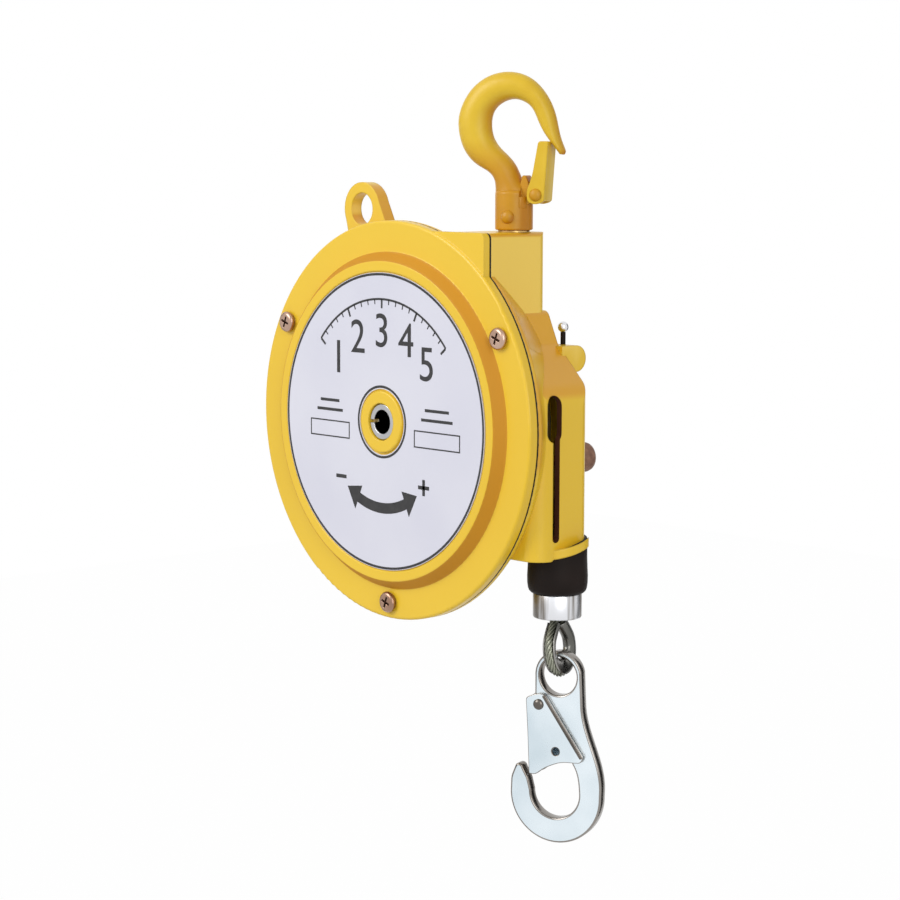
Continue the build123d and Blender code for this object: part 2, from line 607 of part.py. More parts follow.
# Swivel stem with its nut, washer and cross pin
stem_end = 50.4
swivel_stem = turned_up(
    [(0, stem_end), (stem_radius, stem_end), (stem_radius, stem_top), (0, stem_top)], hook_x, hook_y,
    [0, 0.8, 0.5, 0])
swivel_stem -= pin(hook_plane, 0, cross_z, cross_radius, -12, 12)
save("swivel_stem", swivel_stem)
washer_top = pocket_roof - run_fit
save("thrust_washer", rod_z(hook_x, hook_y, washer_top - 1.2, washer_top, pocket_radius - loose)
     - rod_z(hook_x, hook_y, 40, 60, stem_radius))
nut = Pos(hook_x, hook_y, washer_top - 7.0) * extrude(RegularPolygon(pocket_radius - loose, 6), 5.8)
save("stem_nut", nut - rod_z(hook_x, hook_y, 40, 60, stem_radius))
cross_pin = pin(hook_plane, 0, cross_z, cross_radius, -collar_radius - 0.4, collar_radius + 0.4)
cross_heads = pin(hook_plane, 0, cross_z, 2.2, collar_radius - 0.6, collar_radius + 0.9)
cross_heads += pin(hook_plane, 0, cross_z, 2.2, -collar_radius - 0.9, -collar_radius + 0.6)
cross_pin += cross_heads - rod_z(hook_x, hook_y, collar_bottom, collar_top, collar_radius)
save("hook_cross_pin", cross_pin)

# Latch folded from sheet, resting inside the tip of the hook
latch_top = 103.4
web_u = 13.6
latch_outline = closed(
    [(web_u, 81.6), (web_u, latch_top), (web_u - 3.0, latch_top), (6.6, 86.2), (6.6, 81.6)],
    [1.5, 0.8, 1.2, 3.0, 3.2])
hook_latch = flat(hook_plane, latch_outline, 2 * latch_half)
hook_latch -= flat(hook_plane, Pos(web_u - sheet - 10, 93) * Rectangle(20, 40), 2 * latch_gap)
hook_latch -= pin(hook_plane, latch_u, latch_z, 1.5 + run_fit, -8, 8)
save("hook_latch", hook_latch)
latch_rivet = pin(hook_plane, latch_u, latch_z, 1.5, -latch_half - run_fit, latch_half + run_fit)
latch_rivet += pin(hook_plane, latch_u, latch_z, 2.6, latch_half + run_fit, latch_half + 1.1)
latch_rivet += pin(hook_plane, latch_u, latch_z, 2.6, -latch_half - 1.1, -latch_half - run_fit)
save("latch_rivet", latch_rivet)
leg_path = hook_plane * Polyline((8.4, 88.2), (7.2, 90.6), (11.4, 97.0))
save("latch_spring", sweep(Plane(origin=leg_path @ 0, z_dir=leg_path % 0) * Circle(0.5), path=leg_path,
                           transition=Transition.ROUND))

# Worm wheel with its key and circlip
wheel_pitch = wheel_teeth * tooth_module / 2
wheel_front = gear_mid - 3.5
worm_wheel = rod_y(0, 0, wheel_front, gear_mid + 3.5, wheel_pitch - 0.2)
worm_wheel += rod_y(0, 0, case_depth + 1.0, clip_y - 0.05, 10)
worm_wheel -= rod_y(0, 0, 20, 50, wheel_seat)
worm_wheel -= Pos(0, gear_mid, wheel_seat) * Box(key_width, 12, 3.4)
save("worm_wheel", worm_wheel)
save("wheel_key", Pos(0, gear_mid, wheel_seat + 0.25) * Box(key_width, 7, 2.8))
clip = rod_y(0, 0, clip_y, clip_y + 1.1, 8.0) - rod_y(0, 0, 40, 50, wheel_seat - 0.6)
save("arbor_circlip", clip - Pos(-6, clip_y, 0) * Box(6, 6, 5))

# Worm with its driving socket, and its bushes
worm_half = 11.0
worm_pitch_radius = worm_z - wheel_pitch
worm = rod_x(gear_mid, worm_z, worm_left + 1, tunnel_right - 2.5, shaft_radius)
worm += rod_x(gear_mid, worm_z, worm_left + 1, worm_left + 7, worm_bore - 0.1)
worm += rod_x(gear_mid, worm_z, -worm_half, worm_half, worm_pitch_radius - 0.1)
worm -= Pos(worm_left, gear_mid, worm_z) * Rot(0, 90, 0) * extrude(RegularPolygon(2.0, 6, major_radius=False), 6)
save("worm", worm)
bush_places = ((-20.0, -14.0), (20.0, 26.0))
worm_bushes = [rod_x(gear_mid, worm_z, a, b, worm_bore) - rod_x(gear_mid, worm_z, -60, 60, shaft_radius + run_fit)
               for a, b in bush_places]
save("worm_bushes", *worm_bushes)

# Pull pin that holds the worm, with its ball
pin_bottom = worm_z + shaft_radius + 0.1
ball_z = 36.4
save("worm_lock_pin", rod_z(pin_x, gear_mid, pin_bottom, ball_z, pin_radius))
save("pin_ball", Pos(pin_x, gear_mid, ball_z) * Sphere(2.05) - rod_z(pin_x, gear_mid, 30, ball_z, pin_radius))

# Drum lock: knob, spindle and spring
spindle_tip = drum_back + 2.2
knob_front = 41.0
knob_back = 52.4
lock_spindle = rod_y(lock_x, lock_z, spindle_tip, knob_back - 3, lock_radius)
lock_knob = Pos(lock_x, 0, lock_z) * turned(
    [(lock_radius, knob_front), (4.6, knob_front), (5.7, knob_front + 4), (5.7, knob_back), (0, knob_back),
     (0, knob_back - 3), (lock_radius, knob_back - 3)], [0, 0.8, 2, 2.6, 0, 0, 0])
save("lock_spindle", lock_spindle)
save("lock_knob", lock_knob)
lock_spring = [Pos(lock_x, block_depth + 4.3 + k * 0.95, lock_z) * Rot(90, 0, 0) * Torus(3.3, 0.4) for k in range(4)]
save("lock_spring", *lock_spring)

# Gear cover with its screws
gear_cover = rod_y(0, 0, gear_case_depth, gear_case_depth + 2.0, gear_case_radius)
gear_cover += rod_y(0, 0, gear_case_depth + 1, gear_case_depth + 3.2, 11)
gear_cover -= [rod_y(x, z, 40, 50, 1.7) for x, z in gear_screw_places]
save("gear_cover", gear_cover)
cover_bolts = [rod_y(x, z, gear_case_depth + 2, gear_case_depth + 3.8, 2.6)
               + rod_y(x, z, gear_case_depth - 7, gear_case_depth + 2, 1.5) for x, z in gear_screw_places]
save("gear_cover_screws", *cover_bolts)
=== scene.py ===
import json
from math import cos, pi, radians, sin

import bmesh
import bpy
from mathutils import Matrix, Vector


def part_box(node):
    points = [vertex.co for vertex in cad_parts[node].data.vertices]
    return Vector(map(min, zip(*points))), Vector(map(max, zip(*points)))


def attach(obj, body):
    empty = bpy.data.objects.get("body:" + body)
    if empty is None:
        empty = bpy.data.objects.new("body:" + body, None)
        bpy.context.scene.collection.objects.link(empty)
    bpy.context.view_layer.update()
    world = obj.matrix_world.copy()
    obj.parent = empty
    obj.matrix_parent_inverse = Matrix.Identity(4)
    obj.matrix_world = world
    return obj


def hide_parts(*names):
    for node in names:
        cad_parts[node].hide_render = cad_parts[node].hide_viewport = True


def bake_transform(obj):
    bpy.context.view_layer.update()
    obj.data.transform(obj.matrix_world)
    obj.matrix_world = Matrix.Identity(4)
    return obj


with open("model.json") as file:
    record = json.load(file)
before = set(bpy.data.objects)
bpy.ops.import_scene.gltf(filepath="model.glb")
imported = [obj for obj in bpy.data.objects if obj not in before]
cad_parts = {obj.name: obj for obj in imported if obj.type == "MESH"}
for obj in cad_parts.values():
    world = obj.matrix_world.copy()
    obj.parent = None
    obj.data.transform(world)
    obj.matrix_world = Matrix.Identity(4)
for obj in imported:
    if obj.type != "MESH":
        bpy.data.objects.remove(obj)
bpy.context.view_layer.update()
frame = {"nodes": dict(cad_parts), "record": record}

nodes = frame["nodes"]


def linked(name, data):
    """A new object with this data, linked to the scene."""
    thing = bpy.data.objects.new(name, data)
    bpy.context.scene.collection.objects.link(thing)
    return thing


def meshed(name, build):
    """The mesh of a bmesh, which is freed."""
    mesh = bpy.data.meshes.new(name)
    build.to_mesh(mesh)
    build.free()
    return mesh


def joint_facts(joint):
    return next(j for j in frame["record"]["behaviour"]["joints"] if j["name"] == joint)


# Camera of the photograph: a long lens at the height of the casing, 47 degrees to the right of the label,
# looking slightly down.
camera_turn = radians(47.3)
camera_rise = radians(6.77)
camera_roll = radians(0.16)
camera_place = Vector((0.6571, -0.6378, -0.0195))
backward = Vector((sin(camera_turn) * cos(camera_rise), -cos(camera_turn) * cos(camera_rise),
                   sin(camera_rise)))
sideways = Vector((cos(camera_turn), sin(camera_turn), 0))
upward = backward.cross(sideways)
rolled_side = sideways * cos(camera_roll) + upward * sin(camera_roll)
rolled_up = upward * cos(camera_roll) - sideways * sin(camera_roll)
camera_data = bpy.data.cameras.new("photo_camera")
camera_data.lens = 100
camera_data.sensor_width = 36
camera_data.clip_start = 0.01
camera = linked("photo_camera", camera_data)
camera.matrix_world = Matrix.Translation(camera_place) @ Matrix(
    (rolled_side, rolled_up, backward)).transposed().to_4x4()
bpy.context.scene.camera = camera
bpy.context.scene.view_settings.view_transform = "Standard"


# Materials: shader arithmetic written as Python expressions, and a material that is made one node at a time.
class Link:
    """A shader socket with arithmetic that adds Math nodes."""

    def __init__(self, tree, socket):
        self.tree = tree
        self.socket = socket

    def join(self, operation, first, second):
        math_node = self.tree.nodes.new("ShaderNodeMath")
        math_node.operation = operation
        for place, value in zip(math_node.inputs, (first, second)):
            if isinstance(value, Link):
                self.tree.links.new(value.socket, place)
            else:
                place.default_value = value
        return Link(self.tree, math_node.outputs[0])

    def __add__(self, other):
        return self.join("ADD", self, other)

    def __radd__(self, other):
        return self.join("ADD", other, self)

    def __sub__(self, other):
        return self.join("SUBTRACT", self, other)

    def __rsub__(self, other):
        return self.join("SUBTRACT", other, self)

    def __mul__(self, other):
        return self.join("MULTIPLY", self, other)

    def __rmul__(self, other):
        return self.join("MULTIPLY", other, self)

    def __gt__(self, other):
        return self.join("GREATER_THAN", self, other)

    def __lt__(self, other):
        return self.join("LESS_THAN", self, other)

    def either(self, other):
        return self.join("MAXIMUM", self, other)


class Finish:
    """A material with its node tree, made one node at a time."""

    def __init__(self, name, slot, edge=0.0003, **constants):
        self.edge = edge
        self.slot = slot
        self.material = bpy.data.materials.new(name)
        self.material.use_nodes = True
        self.tree = self.material.node_tree
        self.shader = self.tree.nodes["Principled BSDF"]
        for socket, value in constants.items():
            self.shader.inputs[socket.replace("_", " ")].default_value = value

    def add(self, kind, settings, sockets, output=0):
        node = self.tree.nodes.new(kind)
        for key, value in settings.items():
            if key == "stops":
                for place, colour in value[2:]:
                    node.color_ramp.elements.new(place)
                for element, (place, colour) in zip(node.color_ramp.elements, sorted(value)):
                    element.position = place
                    element.color = colour
            else:
                setattr(node, key, value)
        for key, value in sockets.items():
            if isinstance(value, Link):
                self.tree.links.new(value.socket, node.inputs[key])
            else:
                node.inputs[key].default_value = value
        return Link(self.tree, node.outputs[output])

    def feed(self, socket, value):
        self.tree.links.new(value.socket, self.shader.inputs[socket])

    def place(self):
        return self.add("ShaderNodeTexCoord", {}, {}, "Object")

    def noise(self, scale, detail=2.0, vector=None):
        return self.add("ShaderNodeTexNoise", {}, {
            "Vector": vector or self.place(), "Scale": scale, "Detail": detail}, 0)

    def tones(self, factor, *stops):
        return self.add("ShaderNodeValToRGB", {"stops": [(p, (*c, 1)) for p, c in stops]}, {"Fac": factor})

    def axes(self):
        split = self.tree.nodes.new("ShaderNodeSeparateXYZ")
        self.tree.links.new(self.place().socket, split.inputs[0])
        return [Link(self.tree, output) for output in split.outputs]

    def length(self, first, second):
        return self.add("ShaderNodeVectorMath", {"operation": "LENGTH"}, {
            0: self.add("ShaderNodeCombineXYZ", {}, {"X": first, "Y": second})}, "Value")

    def within(self, value, middle, half):
        return self.add("ShaderNodeMath", {"operation": "COMPARE"}, {0: value, 1: middle, 2: half})

    def blend(self, factor, first, second):
        return self.add("ShaderNodeMix", {"data_type": "RGBA"}, {
            "Factor": factor, 6: first, 7: second}, 2)

    def corner_tone(self, name):
        return self.add("ShaderNodeAttribute", {"attribute_name": name}, {}, "Fac")

    def bump(self, height, strength, distance):
        soft_edges = self.add("ShaderNodeBevel", {"samples": 6}, {"Radius": self.edge})
        self.feed("Normal", self.add("ShaderNodeBump", {}, {
            "Height": height, "Strength": strength, "Distance": distance, "Normal": soft_edges}))

    def paint(self, *pieces):
        for piece in pieces:
            piece.data.materials.clear()
            piece.data.materials.append(self.material)
            for polygon in piece.data.polygons:
                polygon.material_index = 0


# Middle and rim of the casing's disc, depth of the seam round it and of the middle of the rope block.
disc_low, disc_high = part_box("label_plate")
disc_x = (disc_low.x + disc_high.x) / 2
disc_z = (disc_low.z + disc_high.z) / 2
rim = disc_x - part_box("front_cover")[0].x
seam_y = disc_low.y + 0.008
slot_y = disc_low.y + 0.0198

# Yellow enamel on the die-cast casing and its covers: a smooth gloss coat with the faint orange peel and slow
# tone changes of sprayed paint. It is duller round the dish and deeper there with painted shade, and painted
# shade makes it dark in the seam and in the casing seen through the window.
enamel_roughness = 0.36
enamel_coat = 0.15
enamel = Finish("yellow_enamel", "enamel", edge=0.0009, Roughness=enamel_roughness, Coat_Weight=enamel_coat,
                Coat_Roughness=0.12, Metallic=0.0)
x, y, z = enamel.axes()
from_disc = enamel.length(x - disc_x, z - disc_z)
sprayed = enamel.tones(enamel.noise(9.0, 3.0), (0.3, (0.78, 0.500, 0.016)), (0.7, (0.85, 0.560, 0.026)))
# Painted shade: a darker, deeper orange band round the dish between the flange and the raised rim of the
# label. The coat is also duller there.
dish_painted_shade = (from_disc > rim - 0.0150) * (rim - 0.0116 > from_disc) * (disc_low.y + 0.0042 > y)
sprayed = enamel.blend(dish_painted_shade, sprayed, enamel.tones(
    enamel.noise(14.0), (0.3, (0.56, 0.245, 0.002)), (0.7, (0.62, 0.28, 0.004))))
enamel.feed("Coat Weight", enamel_coat - dish_painted_shade * enamel_coat)
enamel.feed("Roughness", enamel_roughness + dish_painted_shade * 0.3)
# Tones written at the corners: painted shade and a deeper orange in the first, painted light in the paler
# yellow of the second.
for tone, dark, light in (("deep", (0.70, 0.345, 0.010), (0.76, 0.385, 0.016)),
                          ("pale", (0.88, 0.60, 0.085), (0.94, 0.65, 0.100))):
    sprayed = enamel.blend(enamel.corner_tone(tone), sprayed, enamel.tones(
        enamel.noise(14.0), (0.3, dark), (0.7, light)))
# Painted shade: near black in the seam round the cover and on the casing's inside seen through the window and
# the slit.
seam = enamel.within(y, seam_y, 0.00042) * (from_disc > rim - 0.0025)
inside_painted_shade = (x > 0.0090) * (0.02645 > x) * enamel.within(y, -0.0030, 0.0097) * enamel.within(z, -0.1319, 0.0254)
sprayed = enamel.blend(seam.either(inside_painted_shade), sprayed, enamel.tones(
    enamel.noise(60.0), (0.3, (0.005, 0.004, 0.003)), (0.7, (0.012, 0.008, 0.006))))
enamel.feed("Base Color", sprayed)
enamel.bump(enamel.noise(420.0, 2.0) + enamel.noise(2600.0, 1.0) * 0.3, 0.25, 0.0002)
enamel.paint(*(nodes[n] for n in ("rear_housing", "front_cover", "gear_cover")))

# Painted shade on the walls of the window and the slit in the rope block: a dark brown for the shade they lie
# in.
slot_shade = Finish("slot_walls_painted_shade", "enamel", Roughness=0.6, Specular_IOR_Level=0.2)
slot_shade.feed("Base Color", slot_shade.tones(
    slot_shade.noise(60.0), (0.3, (0.070, 0.022, 0.012)), (0.7, (0.120, 0.040, 0.020))))

# The same enamel on the hook, its latch and their pins, more orange towards the stem and, as painted shade,
# on the inner side of the bend.
hook_coat = Finish("hook_enamel", "enamel", edge=0.0006, Roughness=0.4, Coat_Weight=0.04, Coat_Roughness=0.15,
                   Specular_IOR_Level=0.35)
hook_tone = hook_coat.tones(
    hook_coat.noise(40.0, 3.0), (0.3, (0.64, 0.400, 0.014)), (0.7, (0.76, 0.52, 0.034)))
# The corner tone puts the deeper orange towards the stem and painted shade on the faces that look away from
# the lamps.
hook_coat.feed("Base Color", hook_coat.blend(hook_coat.corner_tone("deep"), hook_tone, hook_coat.tones(
    hook_coat.noise(60.0, 3.0), (0.3, (0.48, 0.180, 0.003)), (0.7, (0.60, 0.255, 0.006)))))
hook_coat.bump(hook_coat.noise(420.0, 2.0) + hook_coat.noise(140.0, 1.0), 0.3, 0.0003)
hook_coat.paint(nodes["suspension_hook"], nodes["hook_latch"], nodes["hook_cross_pin"], nodes["latch_rivet"])


def step(value, start, end):
    """A smooth rise from 0 at the start to 1 at the end."""
    s = min(max((value - start) / (end - start), 0), 1)
    return s * s * (3 - 2 * s)


def shade(mesh, name, rule):
    """Writes a tone between 0 and 1 at each corner of a mesh from its normal and place. The tones carry
    deeper colour, painted shade and painted light.
    """
    tones = mesh.attributes.new(name, "FLOAT", "CORNER")
    tones.data.foreach_set("value", [rule(normal.vector, mesh.vertices[loop.vertex_index].co)
                                     for normal, loop in zip(mesh.corner_normals, mesh.loops)])


# Silver tin of the label.
label_tin = Finish("label_silver", "label", Roughness=0.34, Metallic=0.0)
label_tin.feed("Base Color", label_tin.tones(
    label_tin.noise(30.0), (0.3, (0.66, 0.66, 0.75)), (0.7, (0.70, 0.70, 0.78))))
label_tin.paint(nodes["label_plate"])


# Metals, rubber and moulding. Each metal has slow tone changes or streaks of painted reflection, and a fine
# grain.
def metal(name, slot, low, high, roughness, stops=(0.3, 0.7), reflection_streaks=False):
    finish = Finish(name, slot, Metallic=1.0)
    if reflection_streaks:
        # Painted reflection: streaks drawn out along the height, as a round metal reflects its surroundings.
        streak_x, streak_y, streak_z = finish.axes()
        pattern = finish.noise(260.0, 3.0, finish.add("ShaderNodeCombineXYZ", {}, {
            "X": streak_x, "Y": streak_y, "Z": streak_z * 0.05}))
    else:
        pattern = finish.noise(44.0)
    finish.tone = finish.tones(pattern, (stops[0], low), (stops[1], high))
    finish.feed("Base Color", finish.tone)
    finish.feed("Roughness", finish.noise(220.0) * 0.12 + (roughness - 0.06))
    finish.bump(finish.noise(1760.0), 0.08, 0.00005)
    return finish


passivated = metal("yellow_zinc", "screw_zinc", (0.30, 0.17, 0.11), (0.60, 0.42, 0.33), 0.3)
x, y, z = passivated.axes()
screws_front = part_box("cover_screws")[0].y
screw_circle = 0.0686
recess_radius = 0.0022
recess_front = 0.0006
# Painted shade: near black in the cross recess of each screw head.
recess_painted_shade = 0.0
for turn in (30, 150, 270):
    screw_x = disc_x + screw_circle * cos(radians(turn))
    screw_z = disc_z + screw_circle * sin(radians(turn))
    recess_painted_shade = recess_painted_shade + (recess_radius > passivated.length(x - screw_x, z - screw_z))
passivated.feed("Base Color", passivated.blend(
    recess_painted_shade * (y > screws_front + recess_front), passivated.tone, (0.03, 0.015, 0.01, 1)))
passivated.paint(*(nodes[n] for n in ("cover_screws", "screw_spring_washers", "gear_cover_screws",
                                      "drum_lid_screws")))
steel = metal("machined_steel", "steel", (0.40, 0.40, 0.41), (0.55, 0.55, 0.56), 0.3)
bore_steel = metal("arbor_steel", "steel", (0.40, 0.40, 0.41), (0.55, 0.55, 0.56), 0.3)
x, y, z = bore_steel.axes()
# Painted shade: near black in the bore at the arbor's end.
bore_radius = 0.00455
bore_painted_shade = (bore_radius > bore_steel.length(x - disc_x, z - disc_z)) * (
    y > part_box("spring_arbor")[0].y + recess_front)
bore_steel.feed("Base Color", bore_steel.blend(bore_painted_shade, bore_steel.tone, (0.012, 0.010, 0.010, 1)))
bore_steel.paint(nodes["spring_arbor"])
steel.paint(*(nodes[n] for n in ("swivel_stem", "stem_nut", "thrust_washer", "wheel_key",
                                 "arbor_circlip", "worm", "lock_spindle")))
blued = metal("blued_spring", "spring_steel", (0.16, 0.17, 0.20), (0.26, 0.27, 0.31), 0.35)
blued.paint(*(nodes[n] for n in ("main_spring", "latch_spring", "gate_spring", "lock_spring")))
bronze = metal("turned_bronze", "bronze", (0.50, 0.33, 0.13), (0.62, 0.42, 0.18), 0.32)
bronze.paint(*(nodes[n] for n in ("arbor_bush_front", "arbor_bush_rear", "stem_bush", "drum_bush_front",
                                  "drum_bush_rear", "worm_wheel", "worm_bushes")))
casting = metal("cast_aluminium", "cast_aluminium", (0.50, 0.51, 0.52), (0.62, 0.63, 0.64), 0.42)
casting.paint(nodes["rope_drum"], nodes["drum_lid"])
zinc = metal("bright_zinc", "zinc_plate", (0.64, 0.74, 0.80), (0.84, 0.92, 0.97), 0.26)
zinc.paint(*(nodes[n] for n in ("snap_hook", "snap_gate", "snap_gate_rivet", "thimble")))
# Painted reflection: the ferrule's dark and bright streaks stand in for the reflections round it.
alloy = metal("aluminium_painted_reflection", "ferrule_aluminium", (0.24, 0.22, 0.20), (0.80, 0.81, 0.84), 0.36,
              (0.40, 0.56), reflection_streaks=True)
alloy.paint(nodes["ferrule"])
rope_steel = metal("rope_wire", "wire_rope", (0.06, 0.06, 0.045), (0.34, 0.35, 0.28), 0.34)
rope_steel.paint(nodes["rope_loop"], nodes["rope_run"], nodes["rope_winding"])
chrome = metal("chrome", "chrome", (0.72, 0.72, 0.74), (0.80, 0.80, 0.82), 0.1)
chrome.paint(nodes["pin_ball"])

rubber = Finish("moulded_rubber", "rubber", Roughness=0.55, Specular_IOR_Level=0.12)
rubber.feed("Base Color", rubber.tones(
    rubber.noise(60.0), (0.3, (0.009, 0.006, 0.005)), (0.7, (0.017, 0.011, 0.009))))
rubber.bump(rubber.noise(1500.0), 0.2, 0.0001)
rubber.paint(nodes["rope_stopper"], nodes["rope_guide"], nodes["worm_lock_pin"])
knob_stuff = Finish("grey_brown_moulding", "knob_plastic", Roughness=0.5, Specular_IOR_Level=0.3)
knob_stuff.feed("Base Color", knob_stuff.tones(
    knob_stuff.noise(420.0, 4.0), (0.3, (0.16, 0.080, 0.055)), (0.7, (0.30, 0.165, 0.115))))
knob_stuff.bump(knob_stuff.noise(1800.0), 0.15, 0.0001)
knob_stuff.paint(nodes["lock_knob"])


# Millimetre frames at the hinges whose pins point at the viewer: across, up and towards the viewer.
def pivot_frame(joint):
    facts = joint_facts(joint)
    normal = Vector(facts["axis"]).normalized()
    turn = Matrix((Vector((0, 0, 1)).cross(normal), Vector((0, 0, 1)), normal)).transposed().to_4x4()
    return Matrix.Translation(facts["pos_m"]) @ turn @ Matrix.Scale(0.001, 4)


def depth_frame(x, z):
    """Millimetres round a line into the depth of the casing, with the third axis along it."""
    turn = Matrix(((1, 0, 0), (0, 0, -1), (0, 1, 0))).transposed().to_4x4()
    return Matrix.Translation((x, disc_low.y, z)) @ turn @ Matrix.Scale(0.001, 4)


def finished(name, build, matrix, body, finishes, *replaced):
    """A mesh piece from a bmesh in a millimetre frame, riding on a body."""
    bmesh.ops.recalc_face_normals(build, faces=build.faces)
    bmesh.ops.transform(build, matrix=matrix, verts=build.verts)
    mesh = meshed(name, build)
    for finish in finishes:
        mesh.materials.append(finish.material)
    piece = linked(name, mesh)
    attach(piece, body)
    if replaced:
        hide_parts(*replaced)
    return piece


def rounded(corners, steps=4):
    """An outline whose corners (across, up, cut) are rounded off from a cut before to a cut after each."""
    line = []
    for before, (u, w, cut), after in zip(corners[-1:] + corners[:-1], corners, corners[1:] + corners[:1]):
        corner = Vector((u, w))
        start = corner + (Vector(before[:2]) - corner).normalized() * cut
        end = corner + (Vector(after[:2]) - corner).normalized() * cut
        for k in range(steps + 1):
            s = k / steps
            line.append((start * (1 - s) + corner * s) * (1 - s) + (corner * (1 - s) + end * s) * s)
    return line


def plate(build, outlines, back, front, edge):
    """A flat plate with rounded edges from its outline and its holes. Its rim faces get material 1."""
    quarter = [radians(a) for a in (0, 30, 60, 90)]
    levels = [(back + edge * (1 - cos(a)), edge * (1 - sin(a))) for a in quarter]
    levels += [(front - edge * (1 - cos(a)), edge * (1 - sin(a))) for a in reversed(quarter)]
    ends = ([], [])
    for number, outline in enumerate(outlines):
        points = [Vector(point) for point in outline]
        area = sum(p.cross(q) for p, q in zip(points, points[1:] + points[:1]))
        if (area > 0) == (number > 0):
            points.reverse()
        inward = []
        for before, point, after in zip(points[-1:] + points[:-1], points, points[1:] + points[:1]):
            ways = ((point - before).normalized(), (after - point).normalized())
            sides = [Vector((-way.y, way.x)) for way in ways]
            middle = (sides[0] + sides[1]).normalized()
            inward.append(middle / max(middle.dot(sides[0]), 0.5))
        rings = [[build.verts.new((*(point + side * inset), level)) for point, side in zip(points, inward)]
                 for level, inset in levels]
        for ring, after in zip(rings, rings[1:]):
            for k in range(len(points)):
                face = build.faces.new((ring[k - 1], ring[k], after[k], after[k - 1]))
                face.material_index = 1
                face.smooth = True
        for end, ring in zip(ends, (rings[0], rings[-1])):
            end.extend(build.edges.get((ring[k - 1], ring[k])) for k in range(len(points)))
    for end in ends:
        bmesh.ops.triangle_fill(build, use_beauty=True, edges=end)


def circle(u, w, radius, steps=32):
    return [(u + radius * cos(2 * pi * k / steps), w + radius * sin(2 * pi * k / steps))
            for k in range(steps)]


def lathe(build, profile, steps=48):
    """Turns a profile of (radius, height) round the third axis. It ends on the axis or closes on itself."""
    verts = [build.verts.new((radius, 0, height)) for radius, height in profile]
    edges = [build.edges.new(pair) for pair in zip(verts, verts[1:])]
    if profile[0][0] > 0:
        edges.append(build.edges.new((verts[-1], verts[0])))
    bmesh.ops.spin(build, geom=verts + edges, axis=(0, 0, 1), cent=(0, 0, 0), steps=steps, angle=2 * pi,
                   use_merge=True)
    bmesh.ops.remove_doubles(build, verts=build.verts, dist=1e-5)
    for face in build.faces:
        face.smooth = True


# Snap hook: a thick plate with rolled edges, sliced from the CAD solid at its middle plane, with bright zinc
# on its faces and painted shade, a darker zinc, on its rounded edges.
# Painted shade: a darker zinc on the rounded rims of the snap hook and the gate.
zinc_edge_shade = metal("zinc_edges_painted_shade", "zinc_plate", (0.16, 0.14, 0.12), (0.34, 0.32, 0.30), 0.2)
# Dark steel of the gate's bead and rivet. On the bead the darkness is painted shade.
gate_wire = metal("gate_bead_steel", "zinc_plate", (0.05, 0.045, 0.04), (0.18, 0.16, 0.14), 0.22)
gate_frame = pivot_frame("gate_pivot")
section = bmesh.new()
section.from_mesh(nodes["snap_hook"].data)
bmesh.ops.transform(section, matrix=gate_frame.inverted(), verts=section.verts)
bmesh.ops.remove_doubles(section, verts=section.verts, dist=0.001)
bmesh.ops.bisect_plane(section, geom=section.verts[:] + section.edges[:] + section.faces[:],
                       plane_co=(0, 0, 0.013), plane_no=(0, 0, 1), clear_inner=True, clear_outer=True)
bmesh.ops.remove_doubles(section, verts=section.verts, dist=0.02)
outlines = []
unused = set(section.verts)
while unused:
    outline = [unused.pop()]
    while True:
        onward = [e.other_vert(outline[-1]) for e in outline[-1].link_edges
                  if e.other_vert(outline[-1]) in unused]
        if not onward:
            break
        outline.append(onward[0])
        unused.remove(onward[0])
    outlines.append([v.co.to_2d() for v in outline])
section.free()
outlines.sort(key=lambda line: min(p.x for p in line))
softened = []
for outline in outlines:
    gaps = [(q - p).length for p, q in zip(outline, outline[1:] + outline[:1])]
    softened.append(rounded([(p.x, p.y, min(1.6, 0.42 * min(gap, before)))
                             for p, gap, before in zip(outline, gaps, gaps[-1:] + gaps[:-1])], 2))
snap_low, snap_high = (f([(gate_frame.inverted() @ v.co).z for v in nodes["snap_hook"].data.vertices])
                       for f in (min, max))
hook_build = bmesh.new()
plate(hook_build, softened, snap_low, snap_high, 0.75)
finished("snap_hook_plate", hook_build, gate_frame, "snap", (zinc, zinc_edge_shade), "snap_hook")

# Gate: sheet folded round the plate, with two cheeks, a web at the back of the mouth and a drilled hole, on a
# rivet with domed heads.
sheet = 1.1
cheek = 2.7
gate_build = bmesh.new()
gate_line = rounded([(-5.1, 2.2, 1.2), (-1.3, 3.9, 1.6), (2.3, 4.2, 1.4), (17.9, -18.4, 1.0),
                     (16.8, -20.6, 1.2), (8.8, -20.9, 2.4), (2.9, -23.4, 2.4), (-1.1, -26.5, 1.4),
                     (-3.7, -26.3, 0.6), (-4.3, -11.1, 4.0)])
plate(gate_build, [gate_line, circle(6.9, -17.0, 1.5)], cheek, cheek + sheet, 0.3)
plate(gate_build, [gate_line], -cheek - sheet, -cheek, 0.3)
web_line = rounded([(-5.05, 2.0, 0.5), (-3.9, 2.6, 0.5), (-3.2, -11.1, 3.0), (-2.6, -26.0, 0.3),
                    (-3.65, -26.0, 0.3), (-4.25, -11.1, 3.0)])
plate(gate_build, [web_line], -cheek - sheet + 0.15, cheek + sheet - 0.15, 0.2)
